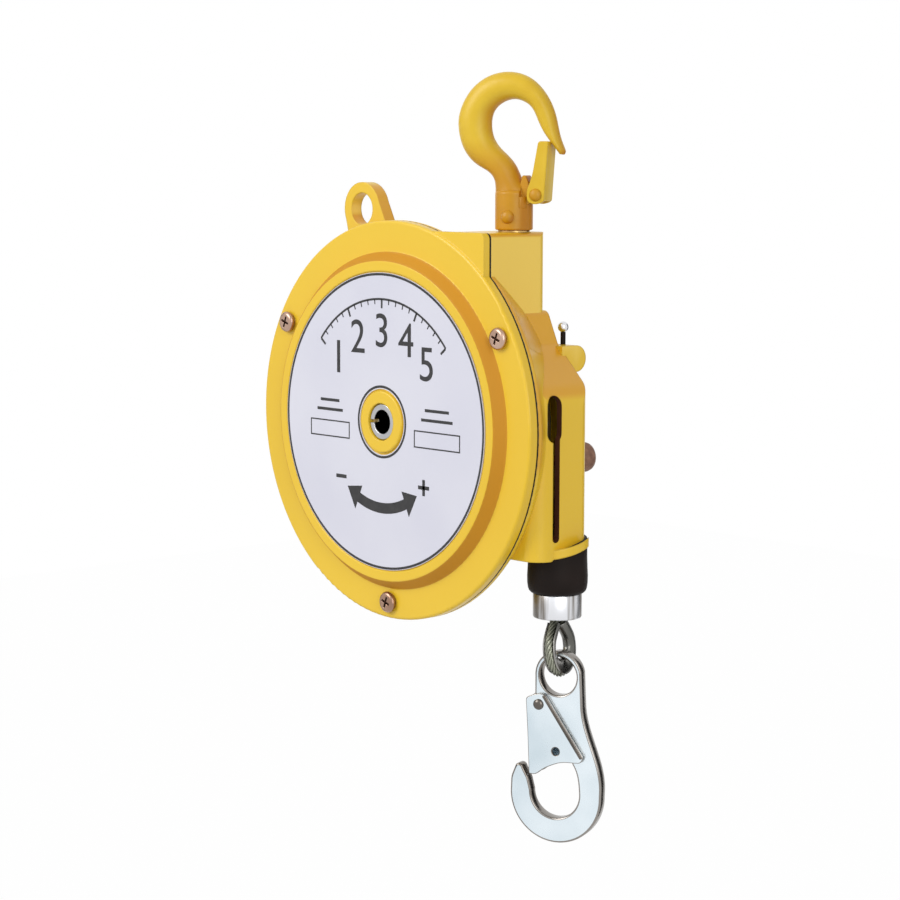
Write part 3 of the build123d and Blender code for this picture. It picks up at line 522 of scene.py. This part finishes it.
# A rolled edge along the slanted edge of the cheek facing the viewer, in dark steel whose darkness is painted
# shade of that edge.
bead_build = bmesh.new()
plate(bead_build, [rounded([(2.5, 3.9, 0.5), (1.4, 3.2, 0.5), (16.6, -19.1, 0.5), (17.7, -18.4, 0.5)])],
      cheek + sheet - 0.1, cheek + sheet + 0.45, 0.3)
finished("snap_gate_bead", bead_build, gate_frame, "gate", (gate_wire, gate_wire))
finished("snap_gate_folded", gate_build, gate_frame, "gate", (zinc, zinc_edge_shade), "snap_gate")
rivet_build = bmesh.new()
lathe(rivet_build, [(0, -4.9), (1.0, -4.8), (1.7, -4.45), (2.05, -3.95), (2.05, -3.84), (1.3, -3.84),
                    (1.3, 3.84), (2.05, 3.84), (2.05, 3.95), (1.7, 4.45), (1.0, 4.8), (0, 4.9)])
finished("snap_gate_rivet_domed", rivet_build, gate_frame, "snap", (gate_wire,), "snap_gate_rivet")

# Top hook: forged and enamelled, the shape of the CAD solid with its tones: a deeper orange towards the stem
# and painted shade.
hook_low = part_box("suspension_hook")[0]
# Painted shade: faces that look this way, away from the key lamp, get the deeper orange.
shaded_way = Vector((0.55, 0.60, -0.58))


def hook_rule(normal, place):
    stem = 0.75 * (1 - step(place.z, hook_low.z + 0.018, hook_low.z + 0.036))
    return min(stem + 0.75 * step(normal.dot(shaded_way), 0.0, 0.85), 1)


def copied(name, node, body):
    """A piece with the mesh of a CAD node, so that tones can be written on it."""
    piece = linked(name, nodes[node].data.copy())
    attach(piece, body)
    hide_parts(node)
    return piece


forged = copied("suspension_hook_forged", "suspension_hook", "hanger")
# Deeper orange towards the stem and painted shade on the faces that look away from the lamps.
shade(forged.data, "deep", hook_rule)

# Latch of the top hook: enamelled sheet folded to two cheeks and a web, with a round lobe at its rivet, and
# the domed heads of that rivet and of the cross pin.
latch_frame = pivot_frame("latch_pivot")
latch_low, latch_high = (f([(latch_frame.inverted() @ v.co).z for v in nodes["hook_latch"].data.vertices])
                         for f in (min, max))
latch_build = bmesh.new()
cheek_line = rounded([(0.9, 19.3, 1.0), (4.7, 19.3, 0.5), (3.1, -2.6, 1.3), (-0.6, -3.6, 1.6),
                      (-3.4, -2.4, 1.7), (-3.5, 1.6, 1.7), (-1.5, 6.2, 3.0)])
for side in (-1, 1):
    ends = sorted((side * latch_high, side * (latch_high - sheet)))
    plate(latch_build, [cheek_line], ends[0], ends[1], 0.25)
plate(latch_build, [rounded([(4.7, 19.0, 0.3), (3.5, 19.0, 0.3), (2.0, -2.3, 0.4), (3.2, -2.3, 0.5)])],
      latch_low + 0.12, latch_high - 0.12, 0.2)
finished("hook_latch_folded", latch_build, latch_frame, "latch", (hook_coat, hook_coat), "hook_latch")
lug_build = bmesh.new()
lug_line = rounded([(-6.8, 2.6, 0.4), (-5.7, 7.0, 0.5), (-4.5, 7.0, 0.5), (-2.0, 1.2, 0.8),
                    (-3.0, -1.5, 0.5)])
plate(lug_build, [lug_line], -3.0, 3.0, 0.3)
lug = finished("latch_lug_top", lug_build, latch_frame, "hanger", (hook_coat, hook_coat))
# The lug takes the hook's deeper orange and painted shade.
shade(lug.data, "deep", hook_rule)
for side in (-1, 1):
    collar_build = bmesh.new()
    across = [(3.6, 2.9), (5.9, 2.9), (5.9, 3.5), (5.3, 4.35), (4.6, 5.07), (3.6, 5.83)]
    plate(collar_build, [[(u, side * n) for u, n in across]], -5.0, -0.7, 0.1)
    fairing = finished(f"collar_fairing_{'back' if side > 0 else 'front'}", collar_build, latch_frame
                       @ Matrix.Translation((-9.9, 0, 0)) @ Matrix.Rotation(-pi / 2, 4, "X"), "hanger",
                       (hook_coat, hook_coat))
    # The fairing takes the hook's deeper orange and painted shade.
    shade(fairing.data, "deep", hook_rule)
latch_rivet_build = bmesh.new()
lathe(latch_rivet_build, [(0, -5.9), (1.1, -5.8), (1.8, -5.4), (2.3, -4.75), (2.3, -4.56), (1.5, -4.56),
                          (1.5, 4.56), (2.3, 4.56), (2.3, 4.75), (1.8, 5.4), (1.1, 5.8), (0, 5.9)])
latch_rivet = finished("latch_rivet_domed", latch_rivet_build, latch_frame, "hanger", (hook_coat,),
                       "latch_rivet")
shade(latch_rivet.data, "deep", lambda normal, place: 0.7)
pin_build = bmesh.new()
lathe(pin_build, [(0, -8.4), (1.2, -8.2), (2.0, -7.6), (2.5, -6.8), (2.4, -6.3), (1.5, -6.3), (1.5, 6.3),
                  (2.4, 6.3), (2.5, 6.8), (2.0, 7.6), (1.2, 8.2), (0, 8.4)])
pin = finished("cross_pin_domed", pin_build, latch_frame @ Matrix.Translation((-9.9, -8.0, 0)), "hanger",
               (hook_coat,), "hook_cross_pin")
# The cross pin takes the hook's deeper orange and painted shade.
shade(pin.data, "deep", hook_rule)

# Knob of the drum lock: a moulded barrel with a domed end over its spindle.
knob_low, knob_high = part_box("lock_knob")
knob_frame = depth_frame((knob_low.x + knob_high.x) / 2, (knob_low.z + knob_high.z) / 2)
knob_start = (knob_low.y - disc_low.y) * 1000
knob_shortened = 3.7
knob_end = (knob_high.y - disc_low.y) * 1000 - knob_shortened
knob_build = bmesh.new()
lathe(knob_build, [(0, knob_start), (4.0, knob_start), (4.6, knob_start + 0.5), (5.2, knob_start + 2.5),
                   (5.6, knob_start + 4.5), (5.6, knob_end - 2.6), (5.3, knob_end - 1.5),
                   (4.4, knob_end - 0.6), (2.6, knob_end - 0.1), (0, knob_end)])
finished("lock_knob_moulded", knob_build, knob_frame, "drum_lock", (knob_stuff,), "lock_knob", "lock_spindle")


# Return springs of the drum lock, the latch and the gate: copies of the CAD springs that stay where they lie.
def sprung(name, node):
    piece = linked(name, nodes[node].data.copy())
    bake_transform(piece)
    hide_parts(node)


sprung("lock_spring_coil", "lock_spring")
sprung("latch_spring_wire", "latch_spring")
sprung("gate_spring_wire", "gate_spring")


# Casing: the housing's own shell with its tones of painted shade and painted light, the lip of the rope
# outlet sloped up towards the back, and the walls of the window and the slit in the rope block in painted
# shade.
def casing_rule(normal, place):
    """Painted shade, a deeper orange, on the slopes that look up and to the right, and the same deeper orange
    on the end of the worm tunnel.
    """
    slope = step(normal.z, 0.20, 0.45) * step(normal.z, 0.97, 0.85) * step(normal.x, 0.10, 0.30)
    return max(slope, 0.8 * (place.x > 0.0293 and place.z > -0.13))


swivel = joint_facts("loop_swivel")
ferrule_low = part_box("ferrule")[0]
rope_axis = Vector((swivel["pos_m"][0], swivel["pos_m"][1], ferrule_low.z))
lip_slope = 0.26
lip_front = rope_axis.y - 0.0118
housing = copied("rear_housing_shell", "rear_housing", "case")
shade(housing.data, "deep", casing_rule)
# Painted light: paler enamel on the faces that look to the right, above the given height.
shade(housing.data, "pale", lambda normal, place: step(normal.x, 0.93, 0.99) * (place.z > -0.090))
outlet_radius = 0.0119
outlet_top = -0.150
lip_inside = 0.0106
lip_tall = 0.0035
outlet = [v for v in housing.data.vertices
          if (v.co.xy - rope_axis.xy).length < outlet_radius and v.co.z < outlet_top]
outlet_low = min(v.co.z for v in outlet)
for vert in outlet:
    if vert.co.z < outlet_low + lip_tall and (vert.co.xy - rope_axis.xy).length > lip_inside:
        share = step(vert.co.x, 0.0165, 0.0225)
        vert.co.z += share * lip_slope * max(vert.co.y - lip_front, 0)
# Painted shade: the walls of the window and the slit take the dark slot material.
housing.data.materials.append(slot_shade.material)
wall_left, wall_right = 0.0225, 0.0290
wall_bottom, wall_top = -0.1600, -0.1040
wall_half_depth = 0.0055
for polygon in housing.data.polygons:
    middle = polygon.center
    if (abs(polygon.normal.x) < 0.25 and abs(middle.y - slot_y) < wall_half_depth
            and wall_left < middle.x < wall_right and wall_bottom < middle.z < wall_top):
        polygon.material_index = 1

# Rubber stopper, whose slanted top reaches up into the outlet, and the turned ferrule below it.
stopper_low, stopper_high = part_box("rope_stopper")
stopper_frame = Matrix.Translation((rope_axis.x, rope_axis.y, stopper_low.z)) @ Matrix.Scale(0.001, 4)
stopper_build = bmesh.new()
stopper_tall = (stopper_high.z - stopper_low.z) * 1000
lathe(stopper_build, [(0, 1.7), (8.8, 1.7), (9.7, 1.9), (10.4, 2.6), (10.8, 3.6), (11.05, 5.5), (11.1, 8.0),
                      (10.95, 11.0), (10.8, stopper_tall - 2.0), (10.8, stopper_tall), (0, stopper_tall)], 64)
for vert in stopper_build.verts:
    if vert.co.z > stopper_tall - 1.0:
        vert.co.z += lip_slope * (vert.co.y + 11.8) - 0.5
finished("rope_stopper_moulded", stopper_build, stopper_frame, "rope_stop", (rubber,), "rope_stopper")
ferrule_build = bmesh.new()
border_raised = 1.75
ferrule_tall = (stopper_low.z - ferrule_low.z) * 1000 + border_raised
lathe(ferrule_build, [(0, 0), (8.2, 0), (8.7, 0.2), (8.95, 0.7), (8.95, ferrule_tall - 0.4),
                      (8.7, ferrule_tall), (0, ferrule_tall)], 64)
finished("ferrule_turned", ferrule_build, Matrix.Translation(rope_axis) @ Matrix.Scale(0.001, 4), "rope_end",
         (alloy,), "ferrule")

# Outer skin of the cone over the blind ends of the cover screws' holes, which break out through it in the
# CAD solid.
cone_edge = 9.8
cone_slope = 0.62
skin_line = [(radius - cone_slope * way, cone_edge + way)
             for radius, way in ((75.03, 1.2), (75.03, 14.2), (74.4, 14.2), (74.4, 1.2))]
for name, start, end in (("right", -37.0, -24.5), ("left", -160.0, -140.0), ("bottom", 78.0, 102.0)):
    skin_build = bmesh.new()
    rings = []
    for k in range(25):
        angle = radians(start + (end - start) * k / 24)
        rings.append([skin_build.verts.new((radius * cos(angle), radius * sin(angle), depth))
                      for radius, depth in skin_line])
    for ring, after in zip(rings, rings[1:]):
        for k in range(4):
            skin_build.faces.new((ring[k - 1], ring[k], after[k], after[k - 1]))
    skin_build.faces.new(rings[0])
    skin_build.faces.new(rings[-1])
    skin = finished(f"cone_skin_{name}", skin_build, depth_frame(disc_x, disc_z), "case", (enamel,))
    # The skins take the casing's deeper orange and painted shade.
    shade(skin.data, "deep", casing_rule)


# Wire rope of six strands laid round a core: the loop at the ferrule in its thimble, and the free rope above
# the stopper, whose lay comes out right when it is pulled out.
def stranded(build, line, phases, normal, radius, sides=8):
    strands = 6
    tangents = [(b - a).normalized() for a, b in zip(line[:1] + line[:-1], line[1:] + line[-1:])]
    for strand in range(strands):
        rings = []
        for point, tangent, phase in zip(line, tangents, phases):
            side = tangent.cross(normal)
            angle = phase + 2 * pi * strand / strands
            centre = point + (normal * cos(angle) + side * sin(angle)) * radius * 0.65
            rings.append([build.verts.new(centre + (normal * cos(turn) + side * sin(turn)) * radius * 0.36)
                          for turn in (angle + 2 * pi * k / sides for k in range(sides))])
        for ring, after in zip(rings, rings[1:]):
            for k in range(sides):
                face = build.faces.new((ring[k - 1], ring[k], after[k], after[k - 1]))
                face.smooth = True
        build.faces.new(rings[0])
        build.faces.new(rings[-1])


snap_turn = radians(22.3)
loop_turn = radians(-74.0)
lean = (Matrix.Rotation(snap_turn, 4, "Z") @ Matrix.Rotation(radians(-5.0), 4, "Y")
        @ Matrix.Rotation(-snap_turn, 4, "Z"))
loop_axes = Matrix(((cos(loop_turn), sin(loop_turn), 0), (0, 0, 1), (sin(loop_turn), -cos(loop_turn), 0)))
loop_frame = Matrix.Translation(rope_axis) @ lean @ loop_axes.transposed().to_4x4() @ Matrix.Scale(0.001, 4)
rope_radius = 1.55
rope_lay = 13.0
loop_half = [(-1.65, 6.5), (-1.65, -0.5), (-5.2, -4.7), (-7.9, -8.7), (-7.8, -15.4), (-3.4, -20.6)]
loop_route = loop_half + [(-u, w) for u, w in reversed(loop_half)]
loop_curve = bpy.data.curves.new("loop_route", "CURVE")
loop_curve.dimensions = "3D"
loop_curve.resolution_u = 12
loop_spline = loop_curve.splines.new("NURBS")
loop_spline.points.add(len(loop_route) - 1)
for point, (u, w) in zip(loop_spline.points, loop_route):
    point.co = (u, w, 0, 1)
loop_spline.order_u = 3
loop_spline.use_endpoint_u = True
loop_holder = bpy.data.objects.new("loop_route", loop_curve)
loop_mesh = bpy.data.meshes.new_from_object(loop_holder)
loop_line = [v.co.copy() for v in loop_mesh.vertices]
bpy.data.objects.remove(loop_holder)
bpy.data.meshes.remove(loop_mesh)
travelled = [0.0]
for before, after in zip(loop_line, loop_line[1:]):
    travelled.append(travelled[-1] + (after - before).length)
facing = Vector((0, 0, 1))
rope_build = bmesh.new()
stranded(rope_build, loop_line, [2 * pi * s / rope_lay for s in travelled], facing, rope_radius)
finished("rope_loop_stranded", rope_build, loop_frame, "rope_end", (rope_steel,), "rope_loop")

trough = [(0.5, 1.95), (-0.2, 1.7), (-0.9, 1.35), (-1.45, 0.8), (-1.62, 0), (-1.45, -0.8), (-0.9, -1.35),
          (-0.2, -1.7), (0.5, -1.95), (0.5, -2.3), (-0.6, -2.25), (-1.8, -1.9), (-2.7, -1.1), (-3.0, 0),
          (-2.7, 1.1), (-1.8, 1.9), (-0.6, 2.25), (0.5, 2.3)]
thimble_build = bmesh.new()
thimble_rings = []
for before, point, after in zip(loop_line, loop_line[1:], loop_line[2:]):
    if point.y < -1.4:
        outward = (after - before).normalized().cross(facing)
        depth = 1 + 0.72 * min(max((-point.y - 12.0) / 7.0, 0), 1)
        thimble_rings.append([
            thimble_build.verts.new(point + outward * (o * depth if o < -1.7 else o) + facing * n)
            for o, n in trough])
for ring, after in zip(thimble_rings, thimble_rings[1:]):
    for k in range(len(trough)):
        face = thimble_build.faces.new((ring[k - 1], ring[k], after[k], after[k - 1]))
        face.smooth = True
thimble_build.faces.new(thimble_rings[0])
thimble_build.faces.new(thimble_rings[-1])
thimble_metal = metal("thimble_steel", "zinc_plate", (0.10, 0.10, 0.09), (0.34, 0.33, 0.31), 0.25)
finished("thimble_channel", thimble_build, loop_frame, "rope_end", (thimble_metal,), "thimble")

travel = joint_facts("rope_travel")["range_m"][1]
run_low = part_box("rope_run")[0]
run_top = run_low.z + 0.021
run_steps = 1100
shares = [k / run_steps for k in range(run_steps + 1)]
run_line = [Vector((rope_axis.x, rope_axis.y, run_top + (run_low.z - run_top) * s)) for s in shares]
run_phases = [2 * pi * travel * s * s * (3 - 2 * s) / (rope_lay / 1000) for s in shares]
run_build = bmesh.new()
stranded(run_build, run_line, run_phases, Vector((1, 0, 0)), rope_radius / 1000, 5)
bmesh.ops.recalc_face_normals(run_build, faces=run_build.faces)
run_mesh = meshed("rope_pulled_out", run_build)
run_mesh.materials.append(rope_steel.material)
run_rope = linked("rope_pulled_out", run_mesh)
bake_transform(run_rope)
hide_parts("rope_run")

# Printing on the label: a border, a ring round the hub, a plain dial with numbers, two empty boxes and the
# double arrow of the adjuster, in black ink a few hundredths of a millimetre thick.
ink = Finish("black_ink", "label", Roughness=0.42)
ink.feed("Base Color", ink.tones(
    ink.noise(300.0), (0.3, (0.012, 0.012, 0.014)), (0.7, (0.028, 0.027, 0.028))))
label_radius = (disc_high.x - disc_low.x) / 2
ink_front = disc_low.y - 0.00006
ink_back = disc_low.y + 0.0001


def printed(name, sides):
    """A flat print on the label between two lines of points, each across and up from the middle in metres."""
    build = bmesh.new()
    rows = [[build.verts.new((disc_x + u, depth, disc_z + w)) for u, w in side]
            for side, depth in ((sides[0], ink_front), (sides[1], ink_front), (sides[1], ink_back),
                                (sides[0], ink_back))]
    closed_ring = sides[0][0] == sides[0][-1]
    for side, after in zip(rows, rows[1:] + rows[:1]):
        for k in range(len(side) - 1):
            build.faces.new((side[k], side[k + 1], after[k + 1], after[k]))
    if closed_ring:
        bmesh.ops.remove_doubles(build, verts=build.verts, dist=1e-7)
    else:
        for end in (0, -1):
            build.faces.new([row[end] for row in rows])
    bmesh.ops.recalc_face_normals(build, faces=build.faces)
    piece = linked(name, meshed(name, build))
    ink.paint(piece)
    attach(piece, "case")


def arc(radius, start, end, steps):
    angles = [radians(start + (end - start) * k / steps) for k in range(steps + 1)]
    points = [(radius * cos(a), radius * sin(a)) for a in angles]
    if abs(end - start) == 360:
        points[-1] = points[0]
    return points


def arc_band(name, inner, outer, start, end, steps):
    printed(name, (arc(inner, start, end, steps), arc(outer, start, end, steps)))


arc_band("label_border", label_radius - 0.0011, label_radius - 0.0002, 0, 360, 128)
arc_band("hub_ring", 0.0128, 0.0137, 0, 360, 64)
arc_band("dial_arc", 0.0455, 0.0463, 40, 140, 60)
for tick in range(21):
    angle = radians(140 - 5 * tick)
    reach = 0.0425 if tick % 5 == 0 else 0.0440
    half = 0.00045 if tick % 5 == 0 else 0.00025
    along = Vector((cos(angle), sin(angle)))
    across = Vector((-sin(angle), cos(angle))) * half
    printed(f"dial_tick_{tick:02d}", [[tuple(along * reach + s * across), tuple(along * 0.0458 + s * across)]
                                      for s in (-1, 1)])
number_circle = 0.0335
for number in range(5):
    text = bpy.data.curves.new(f"number_{number}", "FONT")
    text.body = str(number + 1)
    text.size = 0.0180
    text.align_x = "CENTER"
    text.align_y = "CENTER"
    text.extrude = 0.00006
    holder = bpy.data.objects.new(f"number_{number}", text)
    mesh = bpy.data.meshes.new_from_object(holder)
    bpy.data.objects.remove(holder)
    angle = radians(138 - 24 * number)
    number_place = Matrix.Translation((disc_x + number_circle * cos(angle), ink_front + 0.00005,
                                       disc_z + number_circle * sin(angle)))
    mesh.transform(number_place @ Matrix.Rotation(pi / 2, 4, "X"))
    figure = linked(f"dial_number_{number + 1}", mesh)
    ink.paint(figure)
    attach(figure, "case")
for side, left, right, top, bottom in (("left", -0.0415, -0.0185, -0.0015, -0.0080),
                                       ("right", 0.0180, 0.0430, -0.0015, -0.0080)):
    line = 0.0005
    outer = [(left, bottom), (right, bottom), (right, top), (left, top), (left, bottom)]
    inner = [(left + line, bottom + line), (right - line, bottom + line), (right - line, top - line),
             (left + line, top - line), (left + line, bottom + line)]
    printed(f"{side}_box", (inner, outer))
    for bar in range(2):
        level = top + 0.0035 + 0.0036 * bar
        indent = 0.004 + 0.002 * bar
        printed(f"{side}_bar_{bar}", ([(left + indent, level), (right - indent, level)],
                                      [(left + indent, level + 0.0011), (right - indent, level + 0.0011)]))
arc_band("adjuster_arc", 0.0305, 0.0345, 246, 294, 32)
for side, base, tip in (("minus", 246, 233), ("plus", 294, 307)):
    printed(f"arrow_{side}", (arc(0.0275, base, tip, 1)[:1] + arc(0.0325, base, tip, 1)[1:],
                              arc(0.0375, base, tip, 1)[:1] + arc(0.0326, base, tip, 1)[1:]))
    sign_u, sign_w = arc(0.0325, 0, 224 if side == "minus" else 316, 1)[1]
    printed(f"sign_{side}", ([(sign_u - 0.0030, sign_w - 0.0007), (sign_u + 0.0030, sign_w - 0.0007)],
                             [(sign_u - 0.0030, sign_w + 0.0007), (sign_u + 0.0030, sign_w + 0.0007)]))
printed("sign_plus_stroke", ([(sign_u - 0.0007, sign_w - 0.0030), (sign_u - 0.0007, sign_w + 0.0030)],
                             [(sign_u + 0.0007, sign_w - 0.0030), (sign_u + 0.0007, sign_w + 0.0030)]))


# Studio: a pale floor far under the hung balancer, a white surround, two soft lamps and two dark cards that
# only show in reflections.
floor_build = bmesh.new()
bmesh.ops.create_grid(floor_build, x_segments=1, y_segments=1, size=8.0)
bmesh.ops.translate(floor_build, verts=floor_build.verts, vec=(0, 0, -1.75))
floor = linked("floor", meshed("floor", floor_build))
floor_paint = Finish("pale_floor", None, Base_Color=(0.9, 0.9, 0.9, 1), Roughness=0.9)
floor_sight = floor_paint.add("ShaderNodeLightPath", {}, {}, "Is Camera Ray").either(
    floor_paint.add("ShaderNodeLightPath", {}, {}, "Is Glossy Ray")).either(
    floor_paint.add("ShaderNodeLightPath", {}, {}, "Is Transmission Ray"))
floor_mix = floor_paint.tree.nodes.new("ShaderNodeMixShader")
floor_glow = floor_paint.tree.nodes.new("ShaderNodeEmission")
floor_paint.tree.links.new((floor_sight * 0.985).socket, floor_mix.inputs[0])
floor_paint.tree.links.new(floor_paint.shader.outputs[0], floor_mix.inputs[1])
floor_paint.tree.links.new(floor_glow.outputs[0], floor_mix.inputs[2])
floor_paint.tree.links.new(floor_mix.outputs[0], floor_paint.tree.nodes["Material Output"].inputs["Surface"])
floor_paint.paint(floor)

world = bpy.data.worlds.new("surround")
world.use_nodes = True
bpy.context.scene.world = world
sky = world.node_tree
path = sky.nodes.new("ShaderNodeLightPath")
seen = sky.nodes.new("ShaderNodeMath")
seen.operation = "MAXIMUM"
sky.links.new(path.outputs["Is Camera Ray"], seen.inputs[0])
sky.links.new(path.outputs["Is Glossy Ray"], seen.inputs[1])
seen_through = sky.nodes.new("ShaderNodeMath")
seen_through.operation = "MAXIMUM"
sky.links.new(seen.outputs[0], seen_through.inputs[0])
sky.links.new(path.outputs["Is Transmission Ray"], seen_through.inputs[1])
level = sky.nodes.new("ShaderNodeMapRange")
level.inputs["To Min"].default_value = 0.55
level.inputs["To Max"].default_value = 1.0
sky.links.new(seen_through.outputs[0], level.inputs["Value"])
sky.links.new(level.outputs[0], sky.nodes["Background"].inputs["Strength"])
sky.nodes["Background"].inputs["Color"].default_value = (1, 1, 1, 1)


def lamp(name, place, target, size, power):
    data = bpy.data.lights.new(name, "AREA")
    data.shape = "RECTANGLE"
    data.size, data.size_y = size
    data.energy = power
    light = linked(name, data)
    light.location = place
    light.rotation_euler = (Vector(target) - Vector(place)).to_track_quat("-Z", "Y").to_euler()


for name, place, width in (("behind", (0.25, 1.0, -0.2), 0.55), ("left", (-0.95, -0.28, -0.2), 0.22)):
    card_build = bmesh.new()
    bmesh.ops.create_grid(card_build, x_segments=1, y_segments=1, size=0.5)
    facing_middle = (Vector((0, 0, -0.2)) - Vector(place)).to_track_quat("Z", "Y").to_matrix().to_4x4()
    bmesh.ops.transform(card_build, verts=card_build.verts, matrix=Matrix.Translation(place) @ facing_middle
                        @ Matrix.Diagonal((width, 1.6, 1, 1)))
    card = linked(f"dark_card_{name}", meshed(f"dark_card_{name}", card_build))
    card_paint = Finish(f"dark_card_{name}", None, Base_Color=(0.02, 0.02, 0.02, 1), Roughness=0.9)
    card_paint.paint(card)
    card.visible_camera = False
    card.visible_diffuse = False
    card.visible_shadow = False
middle = (0, 0, -0.12)
lamp("key", (-0.55, -1.3, 0.75), middle, (0.9, 0.9), 14)
lamp("fill", (1.35, -0.7, 0.35), middle, (0.8, 1.2), 8)
